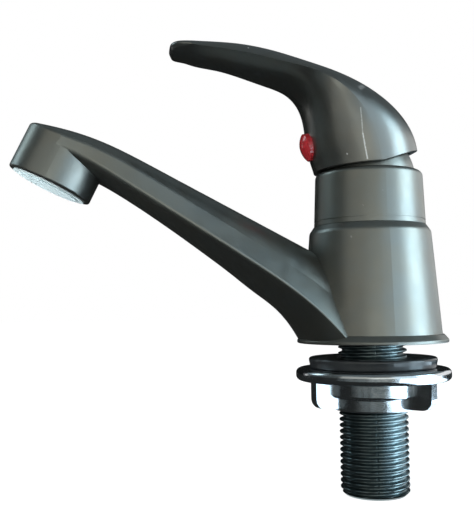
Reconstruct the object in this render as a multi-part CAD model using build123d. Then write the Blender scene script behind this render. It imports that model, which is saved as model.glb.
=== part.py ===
from build123d import *
import math
import os

# A single-lever basin tap on a threaded shank, one solid for each piece.
# Millimetres, +Z up. The spout and the lever point to -Y, called forward below.
# The origin is the centre of the deck flange's underside.

# Clearances, and the spare length by which a cut passes its face
SLIDE_FIT = 0.05
LOOSE_FIT = 0.1
FACE_GAP = 0.05
RUN_GAP = 0.3
CUT_SPARE = 1.0

# Body casting
FLANGE_RADIUS = 22.7
FLANGE_EDGE = 0.9
FLANGE_THICKNESS = 2.4
FLANGE_TOP_RADIUS = 21.4
FLANGE_ROUND = 0.35
FOOT_RADIUS = 20.9
FOOT_FILLET = 0.2
CONE_TOP_RADIUS = 18.4
CONE_TOP = 33.2
SHOULDER_RADIUS = 17.1
SHOULDER_RISE = 1.9
SHOULDER_ROUND = 2.2
NECK_RADIUS = 14.9
NECK_LENGTH = 12.9
CHAMBER_RADIUS = 12.6
CHAMBER_FLOOR = 24.0
GALLERY_DEPTH = 2.5
GALLERY_RADIUS = 10.6
INLET_SEAT_RADIUS = 4.6
INLET_RADIUS = 2.4
RECESS_DEPTH = 1.5
RECESS_RADIUS = 20.3
RECESS_HUB_RADIUS = 12.2

# Threaded shank
THREAD_RADIUS = 10.4775
SHANK_LENGTH = 45.2
SHANK_BORE_RADIUS = 7.0
SHANK_LEAD = 1.2
SPIGOT_RADIUS = 9.5
SPIGOT_LENGTH = 6.0
SPIGOT_SEAL_RADIUS = 0.9
SPIGOT_SEAL_HEIGHT = 3.0

# Washer and wing nut under the deck
WASHER_TOP = -4.4
WASHER_THICKNESS = 3.2
WASHER_TOP_RADIUS = 19.4
WASHER_BASE_RADIUS = 18.8
WASHER_PLAY = 0.3
WASHER_ROUND = 0.7
NUT_FLANGE_RADIUS = 23.2
NUT_FLANGE_THICKNESS = 3.6
NUT_FLANGE_ROUND = 1.4
NUT_HUB_RADIUS = 14.5
NUT_HUB_DEPTH = 4.8
NUT_BOSS_RADIUS = 12.3
NUT_BOSS_DEPTH = 4.0
NUT_HUB_ROUND = 0.8
NUT_BOSS_ROUND = 0.5
WING_COUNT = 3
WING_REACH = 19.9
WING_STEP = 0.7
WING_THICKNESS = 3.6
WING_CORNER = 3.2
WING_START_ANGLE = 42.0

# Spout arm, whose heights are read at a distance forward of the body's axis
ARM_START = 8.0
ARM_ROOT = 12.0
ARM_SECTIONS = 15
ARM_SECTION_SPREAD = 1.6
CROWN_AT_AXIS = 17.75
CROWN_SLOPE = 0.527
CROWN_BEND_START = 70.7
CROWN_BEND = 0.0068
CROWN_DROP_AT_HEAD = 3.1
CROWN_DROP_TAPER = 0.083
CROWN_DROP_AT_ROOT = 2.7
CROWN_DROP_POWER = 8
SIDE_DEPTH = 6.5
SIDE_PINCH = 2.1
SIDE_PINCH_SPAN = (72.0, 92.0)
SIDE_GROWTH = 4.0
SIDE_GROWTH_POWER = 9
KEEL_DEPTH = 7.5
KEEL_GROWTH = 11.2
KEEL_GROWTH_POWER = 2.1
HEEL_START = 25.5
HEEL_STEEPNESS = 0.78
HEEL_POWER = 1.15
SWELL_FULLNESS = 0.55
SIDE_INSET = 0.03
ROOT_FLARE = 4.9
FLARE_CLEAR = 10.0
UPPER_EDGE_ROUND = 1.6
LOWER_EDGE_ROUND = 2.4
LOWER_ROUND_LOSS = 1.7
HEAD_RIM_ROUND = 1.1
HEAD_PLAN_OVERLAP = 0.3
HEAD_SPARE = 3.0
WATERWAY_RADIUS = 3.6
WATERWAY_END = 88.0
WATERWAY_END_HEIGHT = 56.2
WATERWAY_SLOPE = 0.56
DROP_RADIUS = 2.1
DROP_FORWARD = 8.2

# Spout head, a short tube whose mouth leans forward
HEAD_FORWARD = 96.05
HEAD_MOUTH_HEIGHT = 46.9
HEAD_LEAN = 25.7
HEAD_RADIUS = 12.5
HEAD_WALL = 1.5
HEAD_BLOCK = 10.1
HEAD_BORE_DEPTH = 9.9
HEAD_MOUTH_ROUND = 0.7

# Aerator
AERATOR_BASE = -0.3
AERATOR_HEIGHT = 8.6
AERATOR_WALL = 1.2
AERATOR_LIP = 0.6
AERATOR_LIP_THICKNESS = 1.0
GRILLE_THICKNESS = 2.4
GRILLE_PITCH = 2.6
GRILLE_BAR = 0.8
GRILLE_RINGS = 3
AERATOR_WASHER_THICKNESS = 1.5
AERATOR_WASHER_WIDTH = 2.5

# Collar and dome ring
COLLAR_LENGTH = 16.5
COLLAR_BASE_RADIUS = 16.9
COLLAR_TOP_RADIUS = 16.25
COLLAR_BASE_ROUND = 0.25
COLLAR_TOP_ROUND = 1.6
COLLAR_LINE_HEIGHT = 1.3
COLLAR_LINE_WIDTH = 0.4
COLLAR_LINE_DEPTH = 0.25
COLLAR_LIP = 1.9
PIVOT_HEIGHT = 50.0
DOME_RADIUS = 14.0
DOME_WALL = 1.5
DOME_RISE = 7.6
DOME_PLAY = 0.25
DOME_FLANGE = 0.8
DOME_FLANGE_THICKNESS = 1.55

# Ceramic cartridge
SEAL_THICKNESS = 1.4
INLET_SEAL_RADIUS = 2.9
BASE_SEAL_LAND = 0.2
CARTRIDGE_RADIUS = 12.3
BASE_THICKNESS = 3.0
DISC_THICKNESS = 3.0
FIXED_DISC_RADIUS = 11.0
MOVING_DISC_RADIUS = 7.7
CENTRE_PORT_RADIUS = 2.0
SLOT_PORT_RADIUS = 4.5
SLOT_PORT_WIDTH = 3.0
SLOT_PORT_HALF_ANGLE = 75.0
RECESS_NEAR = 2.4
RECESS_FAR = 7.0
RECESS_WIDTH = 4.4
CARRIER_FLANGE_THICKNESS = 2.5
CARRIER_FLANGE_RADIUS = 7.6
CARRIER_BLOCK_WIDTH = 8.4
CARRIER_BLOCK_LENGTH = 9.2
CARRIER_BLOCK_HEIGHT = 6.2
ROTOR_RADIUS = 9.6
ROTOR_NECK_RADIUS = 8.6
ROTOR_TOP = 53.5
ROTOR_SHOULDER = 44.8
ROTOR_POCKET_LENGTH = 16.2
ROTOR_SLOT_LENGTH = 11.6
ROTOR_SEAL_HEIGHT = 43.5
ROTOR_SEAL_RADIUS = 0.6
HOUSING_LIP = 1.6
HOUSING_SHOULDER = 42.0
HOUSING_TOP_RADIUS = 11.0
NUT_RIM_RADIUS = 9.4
NUT_HEX_WIDTH = 21.0
NUT_HEX_HEIGHT = 1.4

# Lever stem, whose square end carries the handle
STEM_SQUARE = 7.0
STEM_SQUARE_START = 55.2
STEM_TOP = 70.0
STEM_CHAMFER = 0.5
STEM_RADIUS = 3.2
STEM_ARM = 10.5
STEM_BALL_RADIUS = 2.6
STEM_NECK_RADIUS = 1.8
PIN_RADIUS = 1.5
PIN_INSET = 0.4

# Handle, whose back and front lines run through points given as (forward, height)
SKIRT_RADIUS = 16.0
SKIRT_BASE = 49.5
SKIRT_LIP = 53.1
SKIRT_OFFSET = 0.4
SKIRT_REAR_RISE = 0.345
SKIRT_FRONT_FALL = 0.07
SKIRT_BEND = 3.0
HANDLE_BACK = [(-13.4, 62.9), (-8.4, 70.3), (-0.8, 76.1), (17.2, 84.2), (31.5, 88.7), (45.0, 90.4)]
HANDLE_FRONT = [
    (17.95, 55.4),
    (19.2, 62.5),
    (21.2, 72.2),
    (24.6, 76.6),
    (30.9, 79.15),
    (47.5, 83.5),
]
HANDLE_SECTIONS = 10
HORN_FULLNESS = 0.5523
NARROWING = (0.2, 0.85)
FLATTENING = (0.2, 0.7)
LEVER_WIDEST = 0.6
LEVER_CREASE_ABOVE = 0.14
LEVER_CREASE_BELOW = 0.36
LEVER_REACH = 61.2
LEVER_HALF_WIDTH = 9.3
TIP_TOP = 88.9
TIP_BASE = 86.2
TIP_LEAN = 25.0
TIP_CORNER = 6.5
TIP_ROUND = 0.8
TIP_SPARE = 0.5
TIP_CUT_REACH = 13.0
CAVITY_RADIUS = 14.7
BOSS_RADIUS = 6.5
BOSS_BASE = 59.5
SOCKET_SPARE = 0.2
BUTTON_FORWARD = 19.6
BUTTON_HEIGHT = 59.3
BUTTON_TILT = 15.0
BUTTON_RADIUS = 4.3
BUTTON_BULGE = 1.6
BUTTON_SEAT_DEPTH = 1.6
BUTTON_PLUG_LENGTH = 2.5
CHANNEL_RADIUS = 3.1
SCREW_RADIUS = 2.5
SCREW_LENGTH = 6.0
SCREW_CHAMFER = 0.6
SCREW_HEADROOM = 0.8
SCREW_KEY_WIDTH = 2.5
SCREW_KEY_DEPTH = 2.4

# Heights and places that follow from the sizes above
COLLAR_SEAT = CONE_TOP + SHOULDER_RISE
NECK_TOP = COLLAR_SEAT + NECK_LENGTH
COLLAR_TOP = COLLAR_SEAT + COLLAR_LENGTH
WASHER_BASE = WASHER_TOP - WASHER_THICKNESS
BASE_BOTTOM = CHAMBER_FLOOR + FACE_GAP
BASE_TOP = BASE_BOTTOM + BASE_THICKNESS
SEAL_TOP = BASE_BOTTOM + SEAL_THICKNESS
FIXED_DISC_TOP = BASE_TOP + DISC_THICKNESS
MOVING_DISC_BOTTOM = FIXED_DISC_TOP + FACE_GAP
MOVING_DISC_TOP = MOVING_DISC_BOTTOM + DISC_THICKNESS
CARRIER_FLANGE_TOP = MOVING_DISC_TOP + CARRIER_FLANGE_THICKNESS
CARRIER_TOP = CARRIER_FLANGE_TOP + CARRIER_BLOCK_HEIGHT
ROTOR_BOTTOM = CARRIER_FLANGE_TOP + RUN_GAP
HOUSING_LIP_BASE = ROTOR_SHOULDER + LOOSE_FIT
HOUSING_TOP = HOUSING_LIP_BASE + HOUSING_LIP
BALL_HEIGHT = PIVOT_HEIGHT - STEM_ARM
HEAD_BORE_RADIUS = HEAD_RADIUS - HEAD_WALL
AERATOR_RADIUS = HEAD_BORE_RADIUS - SLIDE_FIT
AERATOR_BORE_RADIUS = AERATOR_RADIUS - AERATOR_WALL
AERATOR_TOP = AERATOR_BASE + AERATOR_HEIGHT
HEAD_FRAME = Plane(
    origin=(0, -HEAD_FORWARD, HEAD_MOUTH_HEIGHT),
    x_dir=(1, 0, 0),
    z_dir=(0, math.sin(math.radians(HEAD_LEAN)), math.cos(math.radians(HEAD_LEAN))),
)
BUTTON_FRAME = Plane(
    origin=(0, -BUTTON_FORWARD, BUTTON_HEIGHT),
    x_dir=(1, 0, 0),
    z_dir=(0, -math.cos(math.radians(BUTTON_TILT)), -math.sin(math.radians(BUTTON_TILT))),
)


def turned(outline, rounding=0.0):
    """Solid turned about Z from corners given as (radius, height)."""
    wire = FilletPolyline(*outline, radius=rounding, close=True)
    return revolve(make_face(Plane.XZ * wire), Axis.Z)


def rod(radius, low, high):
    """Upright round bar between two heights."""
    return Pos(0, 0, low) * Cylinder(
        radius, high - low, align=(Align.CENTER, Align.CENTER, Align.MIN)
    )


def tube(outer, inner, low, high):
    """Upright ring between two heights."""
    return rod(outer, low, high) - rod(inner, low - CUT_SPARE, high + CUT_SPARE)


def block(width, length, low, high):
    """Upright rectangular bar between two heights, centred on the axis."""
    return Pos(0, 0, low) * Box(
        width, length, high - low, align=(Align.CENTER, Align.CENTER, Align.MIN)
    )


def round_seal(ring_radius, section_radius, height):
    """O-ring lying flat at a height."""
    return Pos(0, 0, height) * Torus(ring_radius, section_radius)


def ease(share, span):
    """Smooth step from nought to one while a share of the way crosses a span."""
    start, end = span
    step = min(1.0, max(0.0, (share - start) / (end - start)))
    return step * step * (3 - 2 * step)


def swell(start, end, rise):
    """Smooth bulge between two points at one height, rising by a given amount in the middle."""
    reach = (1 - SWELL_FULLNESS) / 2 * (end[0] - start[0])
    pull_height = start[1] + 4 / 3 * rise
    return Bezier(start, (start[0] + reach, pull_height), (end[0] - reach, pull_height), end)


def crown_height(forward):
    """Height of the arm's top line: straight, then bending down over the head."""
    past_bend = max(0.0, forward - CROWN_BEND_START)
    return CROWN_AT_AXIS + CROWN_SLOPE * forward - CROWN_BEND * past_bend**2


def arm_section(forward):
    """Upright cut through the arm: crowned top, two leaning side bands and a rounded keel."""
    to_head = HEAD_FORWARD - forward
    share = max(0.0, to_head) / (HEAD_FORWARD - ARM_ROOT)
    crown = crown_height(forward)
    side_top = crown - CROWN_DROP_AT_HEAD - CROWN_DROP_TAPER * to_head
    heel = HEEL_STEEPNESS * max(0.0, HEEL_START - forward) ** HEEL_POWER
    keel = side_top - KEEL_DEPTH - KEEL_GROWTH * share**KEEL_GROWTH_POWER - heel
    upper = side_top - CROWN_DROP_AT_ROOT * share**CROWN_DROP_POWER
    pinch = SIDE_PINCH * ease(forward, SIDE_PINCH_SPAN)
    lower = upper - SIDE_DEPTH - SIDE_GROWTH * share**SIDE_GROWTH_POWER + pinch
    wide = HEAD_RADIUS - SIDE_INSET
    flare = max(0.0, to_head - FLARE_CLEAR) / (HEAD_FORWARD - FLARE_CLEAR - ARM_ROOT)
    foot_wide = wide + ROOT_FLARE * flare
    outline = [
        swell((-wide, upper), (wide, upper), crown - upper),
        Line((wide, upper), (foot_wide, lower)),
        swell((foot_wide, lower), (-foot_wide, lower), keel - lower),
        Line((-foot_wide, lower), (-wide, upper)),
    ]
    face = make_face(Curve() + outline)
    face = fillet(face.vertices().group_by(Axis.Y)[-1], UPPER_EDGE_ROUND)
    lower_round = LOWER_EDGE_ROUND - LOWER_ROUND_LOSS * share
    face = fillet(face.vertices().group_by(Axis.Y)[0], lower_round)
    station = Plane(origin=(0, -forward, 0), x_dir=(1, 0, 0), z_dir=(0, -1, 0))
    return station * face


def arm_plan():
    """Prism along the head's axis that rounds the head in plan and stands clear of the arm."""
    behind = Pos(0, HEAD_PLAN_OVERLAP) * Rectangle(
        4 * HEAD_RADIUS, 2 * HEAD_FORWARD, align=(Align.CENTER, Align.MIN)
    )
    return HEAD_FRAME.location * extrude(Circle(HEAD_RADIUS) + behind, HEAD_FORWARD, both=True)


def spout_arm():
    """Arm and top of the head, lofted through cuts that crowd towards the root."""
    reach = HEAD_FORWARD + HEAD_RADIUS + HEAD_SPARE - ARM_START
    sections = []
    for number in range(ARM_SECTIONS):
        share = (number / (ARM_SECTIONS - 1)) ** ARM_SECTION_SPREAD
        sections.append(arm_section(ARM_START + reach * share))
    arm = loft(sections) & arm_plan()
    return fillet(arm.edges().sort_by(Axis.Z)[-1:], HEAD_RIM_ROUND)


def spout_head():
    """Lower part of the head, down to the mouth."""
    barrel = rod(HEAD_RADIUS, 0, HEAD_BLOCK)
    barrel = fillet(barrel.edges().sort_by(Axis.Z)[:1], HEAD_MOUTH_ROUND)
    return HEAD_FRAME.location * barrel


def body_column():
    """Flange, cone, shoulder and neck, turned in one."""
    outline = [
        (0, 0),
        (FLANGE_RADIUS, 0),
        (FLANGE_RADIUS, FLANGE_EDGE),
        (FLANGE_TOP_RADIUS, FLANGE_THICKNESS),
        (FOOT_RADIUS, FLANGE_THICKNESS),
        (CONE_TOP_RADIUS, CONE_TOP),
        (SHOULDER_RADIUS, COLLAR_SEAT),
        (NECK_RADIUS, COLLAR_SEAT),
        (NECK_RADIUS, NECK_TOP),
        (0, NECK_TOP),
    ]
    rounding = [0, FLANGE_ROUND, FLANGE_ROUND, FOOT_FILLET, FOOT_FILLET, SHOULDER_ROUND]
    return turned(outline, rounding + [0, 0, 0, 0])


def waterway():
    """Sloping bore through the arm and the drop from the gallery that feeds it."""
    away = WATERWAY_END - DROP_FORWARD
    start_height = WATERWAY_END_HEIGHT - WATERWAY_SLOPE * away
    run = Plane(
        origin=(0, -DROP_FORWARD, start_height), x_dir=(1, 0, 0), z_dir=(0, -1, WATERWAY_SLOPE)
    )
    bore = run.location * rod(WATERWAY_RADIUS, 0, away * math.hypot(1, WATERWAY_SLOPE))
    return [bore, Pos(0, -DROP_FORWARD, 0) * rod(DROP_RADIUS, start_height, CHAMBER_FLOOR)]


def body_hollows():
    """Everything that is bored or cast hollow in the body."""
    chamber = rod(CHAMBER_RADIUS, CHAMBER_FLOOR, NECK_TOP + CUT_SPARE)
    gallery = tube(
        GALLERY_RADIUS, INLET_SEAT_RADIUS, CHAMBER_FLOOR - GALLERY_DEPTH, CHAMBER_FLOOR
    )
    inlet = rod(INLET_RADIUS, SPIGOT_LENGTH, CHAMBER_FLOOR + CUT_SPARE)
    spigot = rod(SPIGOT_RADIUS + SLIDE_FIT, -CUT_SPARE, SPIGOT_LENGTH + FACE_GAP)
    recess = tube(RECESS_RADIUS, RECESS_HUB_RADIUS, -CUT_SPARE, RECESS_DEPTH)
    mouth = HEAD_FRAME.location * rod(HEAD_BORE_RADIUS, -CUT_SPARE, HEAD_BORE_DEPTH)
    return [chamber, gallery, inlet, spigot, recess, mouth, *waterway()]


def tap_body():
    """Casting of body, arm and head."""
    solid = body_column() + spout_arm() + spout_head()
    solid -= rod(HEAD_FORWARD, -HEAD_FORWARD, 0)
    for hollow in body_hollows():
        solid -= hollow
    return solid


def threaded_shank():
    """Shank at its thread's outer size, with the spigot that goes into the body."""
    outline = [
        (SHANK_BORE_RADIUS, -SHANK_LENGTH),
        (THREAD_RADIUS - SHANK_LEAD, -SHANK_LENGTH),
        (THREAD_RADIUS, SHANK_LEAD - SHANK_LENGTH),
        (THREAD_RADIUS, 0),
        (SPIGOT_RADIUS, 0),
        (SPIGOT_RADIUS, SPIGOT_LENGTH),
        (SHANK_BORE_RADIUS, SPIGOT_LENGTH),
    ]
    groove_half = SPIGOT_SEAL_RADIUS + SLIDE_FIT
    return turned(outline) - tube(
        SPIGOT_RADIUS + CUT_SPARE,
        SPIGOT_RADIUS - 2 * SPIGOT_SEAL_RADIUS,
        SPIGOT_SEAL_HEIGHT - groove_half,
        SPIGOT_SEAL_HEIGHT + groove_half,
    )


def shank_seal():
    """O-ring in the spigot's groove."""
    return round_seal(SPIGOT_RADIUS - SPIGOT_SEAL_RADIUS, SPIGOT_SEAL_RADIUS, SPIGOT_SEAL_HEIGHT)


def rubber_washer():
    """Thick washer that grips the deck from below."""
    inner = THREAD_RADIUS + WASHER_PLAY
    outline = [
        (inner, WASHER_BASE),
        (WASHER_BASE_RADIUS, WASHER_BASE),
        (WASHER_TOP_RADIUS, WASHER_TOP),
        (inner, WASHER_TOP),
    ]
    return turned(outline, [0, WASHER_ROUND, WASHER_ROUND, 0])


def wing(angle, top, bottom):
    """One wing of the nut, a plate with a rounded lower corner."""
    root = THREAD_RADIUS + SLIDE_FIT
    outline = [(root, top), (WING_REACH, top), (WING_REACH, bottom), (root, bottom)]
    wire = FilletPolyline(*outline, radius=[0, 0, WING_CORNER, 0], close=True)
    plate = extrude(make_face(Plane.XZ * wire), WING_THICKNESS / 2, both=True)
    return Rot(0, 0, angle) * plate


def wing_nut():
    """Nut with a wide pressing flange, a stepped hub and wings for the fingers."""
    bore = THREAD_RADIUS + SLIDE_FIT
    flange_base = WASHER_BASE - NUT_FLANGE_THICKNESS
    hub_base = flange_base - NUT_HUB_DEPTH
    boss_base = hub_base - NUT_BOSS_DEPTH
    outline = [
        (bore, WASHER_BASE),
        (NUT_FLANGE_RADIUS, WASHER_BASE),
        (NUT_FLANGE_RADIUS, flange_base),
        (NUT_HUB_RADIUS, flange_base),
        (NUT_HUB_RADIUS, hub_base),
        (NUT_BOSS_RADIUS, hub_base),
        (NUT_BOSS_RADIUS, boss_base),
        (bore, boss_base),
    ]
    rounding = [0, NUT_FLANGE_ROUND, NUT_FLANGE_ROUND, NUT_HUB_ROUND, NUT_HUB_ROUND]
    rounding += [NUT_BOSS_ROUND, NUT_BOSS_ROUND, 0]
    solid = turned(outline, rounding)
    for number in range(WING_COUNT):
        angle = WING_START_ANGLE + number * 360 / WING_COUNT
        solid += wing(angle, flange_base + CUT_SPARE, boss_base + WING_STEP)
    return solid - rod(bore, boss_base - CUT_SPARE, WASHER_BASE + CUT_SPARE)


def collar():
    """Screwed collar that hides the neck and clamps the dome ring."""
    inner = NECK_RADIUS + LOOSE_FIT
    lip_inner = DOME_RADIUS + DOME_PLAY
    lip_base = COLLAR_TOP - COLLAR_LIP
    outline = [
        (inner, COLLAR_SEAT),
        (COLLAR_BASE_RADIUS, COLLAR_SEAT),
        (COLLAR_TOP_RADIUS, COLLAR_TOP),
        (lip_inner, COLLAR_TOP),
        (lip_inner, lip_base),
        (inner, lip_base),
    ]
    ring = turned(outline, [0, COLLAR_BASE_ROUND, COLLAR_TOP_ROUND, 0, 0, 0])
    line_low = COLLAR_SEAT + COLLAR_LINE_HEIGHT
    return ring - tube(
        COLLAR_BASE_RADIUS + CUT_SPARE,
        COLLAR_BASE_RADIUS - COLLAR_LINE_DEPTH,
        line_low,
        line_low + COLLAR_LINE_WIDTH,
    )


def dome_ring():
    """Ball-shaped cover over the cartridge, open at the top for the lever."""
    low = NECK_TOP + FACE_GAP
    flange = tube(DOME_RADIUS + DOME_FLANGE, CHAMBER_RADIUS, low, low + DOME_FLANGE_THICKNESS)
    ball = Pos(0, 0, PIVOT_HEIGHT) * Sphere(DOME_RADIUS)
    zone = ball & rod(DOME_RADIUS + CUT_SPARE, low, PIVOT_HEIGHT + DOME_RISE)
    return flange + zone - Pos(0, 0, PIVOT_HEIGHT) * Sphere(DOME_RADIUS - DOME_WALL)


def cartridge_retaining_nut():
    """Ring nut that holds the cartridge down in the neck."""
    thread = rod(CHAMBER_RADIUS - LOOSE_FIT, HOUSING_SHOULDER + FACE_GAP, NECK_TOP)
    prism = extrude(RegularPolygon(NUT_HEX_WIDTH / 2, 6, major_radius=False), NUT_HEX_HEIGHT)
    solid = thread + Pos(0, 0, NECK_TOP) * prism
    solid -= rod(
        HOUSING_TOP_RADIUS + LOOSE_FIT, HOUSING_SHOULDER - CUT_SPARE, HOUSING_TOP + LOOSE_FIT
    )
    return solid - rod(NUT_RIM_RADIUS, HOUSING_SHOULDER, NECK_TOP + NUT_HEX_HEIGHT + CUT_SPARE)


def cartridge_housing():
    """Shell of the cartridge, with room for the discs below and the rotor above."""
    disc_room = FIXED_DISC_RADIUS + LOOSE_FIT
    neck_room = ROTOR_NECK_RADIUS + LOOSE_FIT
    rotor_room = ROTOR_RADIUS + SLIDE_FIT
    outline = [
        (disc_room, BASE_TOP),
        (CARTRIDGE_RADIUS, BASE_TOP),
        (CARTRIDGE_RADIUS, HOUSING_SHOULDER),
        (HOUSING_TOP_RADIUS, HOUSING_SHOULDER),
        (HOUSING_TOP_RADIUS, HOUSING_TOP),
        (neck_room, HOUSING_TOP),
        (neck_room, HOUSING_LIP_BASE),
        (rotor_room, HOUSING_LIP_BASE),
        (rotor_room, CARRIER_FLANGE_TOP + LOOSE_FIT),
        (disc_room, CARRIER_FLANGE_TOP + LOOSE_FIT),
    ]
    return turned(outline)


def slot_port(low, high):
    """Curved port at the rear of the disc and of the base below it."""
    half_width = SLOT_PORT_WIDTH / 2
    ring = tube(SLOT_PORT_RADIUS + half_width, SLOT_PORT_RADIUS - half_width, low, high)
    reach = 2 * FIXED_DISC_RADIUS
    side = reach * math.tan(math.radians(SLOT_PORT_HALF_ANGLE))
    wedge = make_face(Polyline((0, 0), (side, reach), (-side, reach), close=True))
    return ring & (Pos(0, 0, low) * extrude(wedge, high - low))


def cartridge_base():
    """Foot of the cartridge, with the inlet in its middle and the outlet behind it."""
    radius = CARTRIDGE_RADIUS - LOOSE_FIT
    below = BASE_BOTTOM - CUT_SPARE
    above = BASE_TOP + CUT_SPARE
    solid = rod(radius, BASE_BOTTOM, BASE_TOP)
    solid -= rod(CENTRE_PORT_RADIUS, below, above)
    solid -= slot_port(below, above)
    solid -= tube(INLET_SEAL_RADIUS, CENTRE_PORT_RADIUS, below, SEAL_TOP)
    return solid - tube(radius + CUT_SPARE, GALLERY_RADIUS + BASE_SEAL_LAND, below, SEAL_TOP)


def inlet_seal():
    """Small square-cut seal round the inlet."""
    outer = INLET_SEAL_RADIUS - FACE_GAP
    return tube(outer, CENTRE_PORT_RADIUS, CHAMBER_FLOOR, SEAL_TOP - FACE_GAP)


def base_seal():
    """Large square-cut seal round the cartridge's foot."""
    inner = GALLERY_RADIUS + BASE_SEAL_LAND + FACE_GAP
    return tube(CARTRIDGE_RADIUS - LOOSE_FIT, inner, CHAMBER_FLOOR, SEAL_TOP - FACE_GAP)


def fixed_disc():
    """Ceramic disc with a middle port and a curved port."""
    below = BASE_TOP - CUT_SPARE
    above = FIXED_DISC_TOP + CUT_SPARE
    solid = rod(FIXED_DISC_RADIUS, BASE_TOP, FIXED_DISC_TOP)
    return solid - rod(CENTRE_PORT_RADIUS, below, above) - slot_port(below, above)


def moving_disc():
    """Ceramic disc whose underside recess joins the ports when it slides forward."""
    solid = rod(MOVING_DISC_RADIUS, MOVING_DISC_BOTTOM, MOVING_DISC_TOP)
    length = RECESS_FAR - RECESS_NEAR
    ceiling = MOVING_DISC_BOTTOM + DISC_THICKNESS / 2
    pocket = block(RECESS_WIDTH, length, MOVING_DISC_BOTTOM - CUT_SPARE, ceiling)
    pocket = fillet(pocket.edges().filter_by(Axis.Z), RECESS_WIDTH / 4)
    return solid - Pos(0, RECESS_NEAR + length / 2, 0) * pocket


def disc_carrier():
    """Slider that holds the moving disc and takes the ball of the lever stem."""
    solid = rod(CARRIER_FLANGE_RADIUS, MOVING_DISC_TOP, CARRIER_FLANGE_TOP)
    solid += block(CARRIER_BLOCK_WIDTH, CARRIER_BLOCK_LENGTH, CARRIER_FLANGE_TOP, CARRIER_TOP)
    ball_room = 2 * (STEM_BALL_RADIUS + LOOSE_FIT)
    floor = BALL_HEIGHT - STEM_BALL_RADIUS - RUN_GAP
    return solid - block(ball_room, ball_room, floor, CARRIER_TOP + CUT_SPARE)


def rotor():
    """Turning part of the cartridge, which guides the carrier and holds the pivot pin."""
    outline = [
        (0, ROTOR_BOTTOM),
        (ROTOR_RADIUS, ROTOR_BOTTOM),
        (ROTOR_RADIUS, ROTOR_SHOULDER),
        (ROTOR_NECK_RADIUS, ROTOR_SHOULDER),
        (ROTOR_NECK_RADIUS, ROTOR_TOP),
        (0, ROTOR_TOP),
    ]
    below = ROTOR_BOTTOM - CUT_SPARE
    pocket_width = CARRIER_BLOCK_WIDTH + 2 * LOOSE_FIT
    slot_width = 2 * (STEM_RADIUS + LOOSE_FIT)
    solid = turned(outline)
    solid -= block(pocket_width, ROTOR_POCKET_LENGTH, below, CARRIER_TOP + RUN_GAP)
    solid -= block(slot_width, ROTOR_SLOT_LENGTH, below, ROTOR_TOP + CUT_SPARE)
    groove_half = ROTOR_SEAL_RADIUS + SLIDE_FIT
    solid -= tube(
        ROTOR_RADIUS + CUT_SPARE,
        ROTOR_RADIUS - 2 * ROTOR_SEAL_RADIUS,
        ROTOR_SEAL_HEIGHT - groove_half,
        ROTOR_SEAL_HEIGHT + groove_half,
    )
    return solid - pin_bar(PIN_RADIUS, ROTOR_NECK_RADIUS + CUT_SPARE)


def pin_bar(radius, half_length):
    """Round bar along X at the pivot."""
    return Pos(0, 0, PIVOT_HEIGHT) * Rot(0, 90, 0) * Cylinder(radius, 2 * half_length)


def rotor_seal():
    """O-ring in the rotor's groove."""
    return round_seal(ROTOR_RADIUS - ROTOR_SEAL_RADIUS, ROTOR_SEAL_RADIUS, ROTOR_SEAL_HEIGHT)


def pivot_pin():
    """Pin that the lever stem tilts on."""
    return pin_bar(PIN_RADIUS, ROTOR_NECK_RADIUS - PIN_INSET)


def stem_lever():
    """Lever stem: ball at the foot, round middle on the pin, square end for the handle."""
    neck_top = CARRIER_TOP + CUT_SPARE
    bar = block(STEM_SQUARE, STEM_SQUARE, STEM_SQUARE_START, STEM_TOP)
    solid = Pos(0, 0, BALL_HEIGHT) * Sphere(STEM_BALL_RADIUS)
    solid += rod(STEM_NECK_RADIUS, BALL_HEIGHT, neck_top)
    solid += rod(STEM_RADIUS, neck_top, STEM_SQUARE_START)
    solid += chamfer(bar.edges().group_by(Axis.Z)[-1], STEM_CHAMFER)
    return solid - pin_bar(PIN_RADIUS + SLIDE_FIT, STEM_RADIUS + CUT_SPARE)


def quarter(across, up, direction, crease):
    """Quarter of an oval from its side point to its end point or back, pinched at its side."""
    pinched = (1 - crease) * across
    points = [(across, 0), (pinched, HORN_FULLNESS * up), (HORN_FULLNESS * across, up), (0, up)]
    return Bezier(*points[::direction])


def horn_section(back, front, half_width, widest, flatness):
    """Cut through the handle from its back line to its front line: oval, or flat and creased."""
    centre = back + (front - back) * widest
    rise = (back - centre).length
    depth = (front - centre).length
    station = Plane(
        origin=centre, x_dir=(1, 0, 0), z_dir=Vector(1, 0, 0).cross(back - front).normalized()
    )
    above = LEVER_CREASE_ABOVE * flatness
    below = LEVER_CREASE_BELOW * flatness
    outline = [
        quarter(half_width, rise, 1, above),
        quarter(-half_width, rise, -1, above),
        quarter(-half_width, -depth, 1, below),
        quarter(half_width, -depth, -1, below),
    ]
    return station * make_face(Curve() + outline)


def line_through(points):
    """Smooth line in the middle plane through points given as (forward, height)."""
    return Spline(*[(0, -forward, height) for forward, height in points])


def handle_blank():
    """Outside of the handle, lofted from the round skirt into the flat lever."""
    far = LEVER_REACH + TIP_SPARE
    rear = (SKIRT_OFFSET - SKIRT_RADIUS, SKIRT_BASE)
    fore = (SKIRT_OFFSET + SKIRT_RADIUS, SKIRT_BASE)
    back = line_through([rear, *HANDLE_BACK, (far, TIP_TOP)])
    front = line_through([fore, *HANDLE_FRONT, (far, TIP_BASE)])
    sections = []
    for number in range(HANDLE_SECTIONS):
        share = number / (HANDLE_SECTIONS - 1)
        narrowing = (SKIRT_RADIUS - LEVER_HALF_WIDTH) * ease(share, NARROWING)
        flatness = ease(share, FLATTENING)
        widest = 0.5 + (LEVER_WIDEST - 0.5) * flatness
        half_width = SKIRT_RADIUS - narrowing
        sections.append(horn_section(back @ share, front @ share, half_width, widest, flatness))
    return loft(sections)


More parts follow.
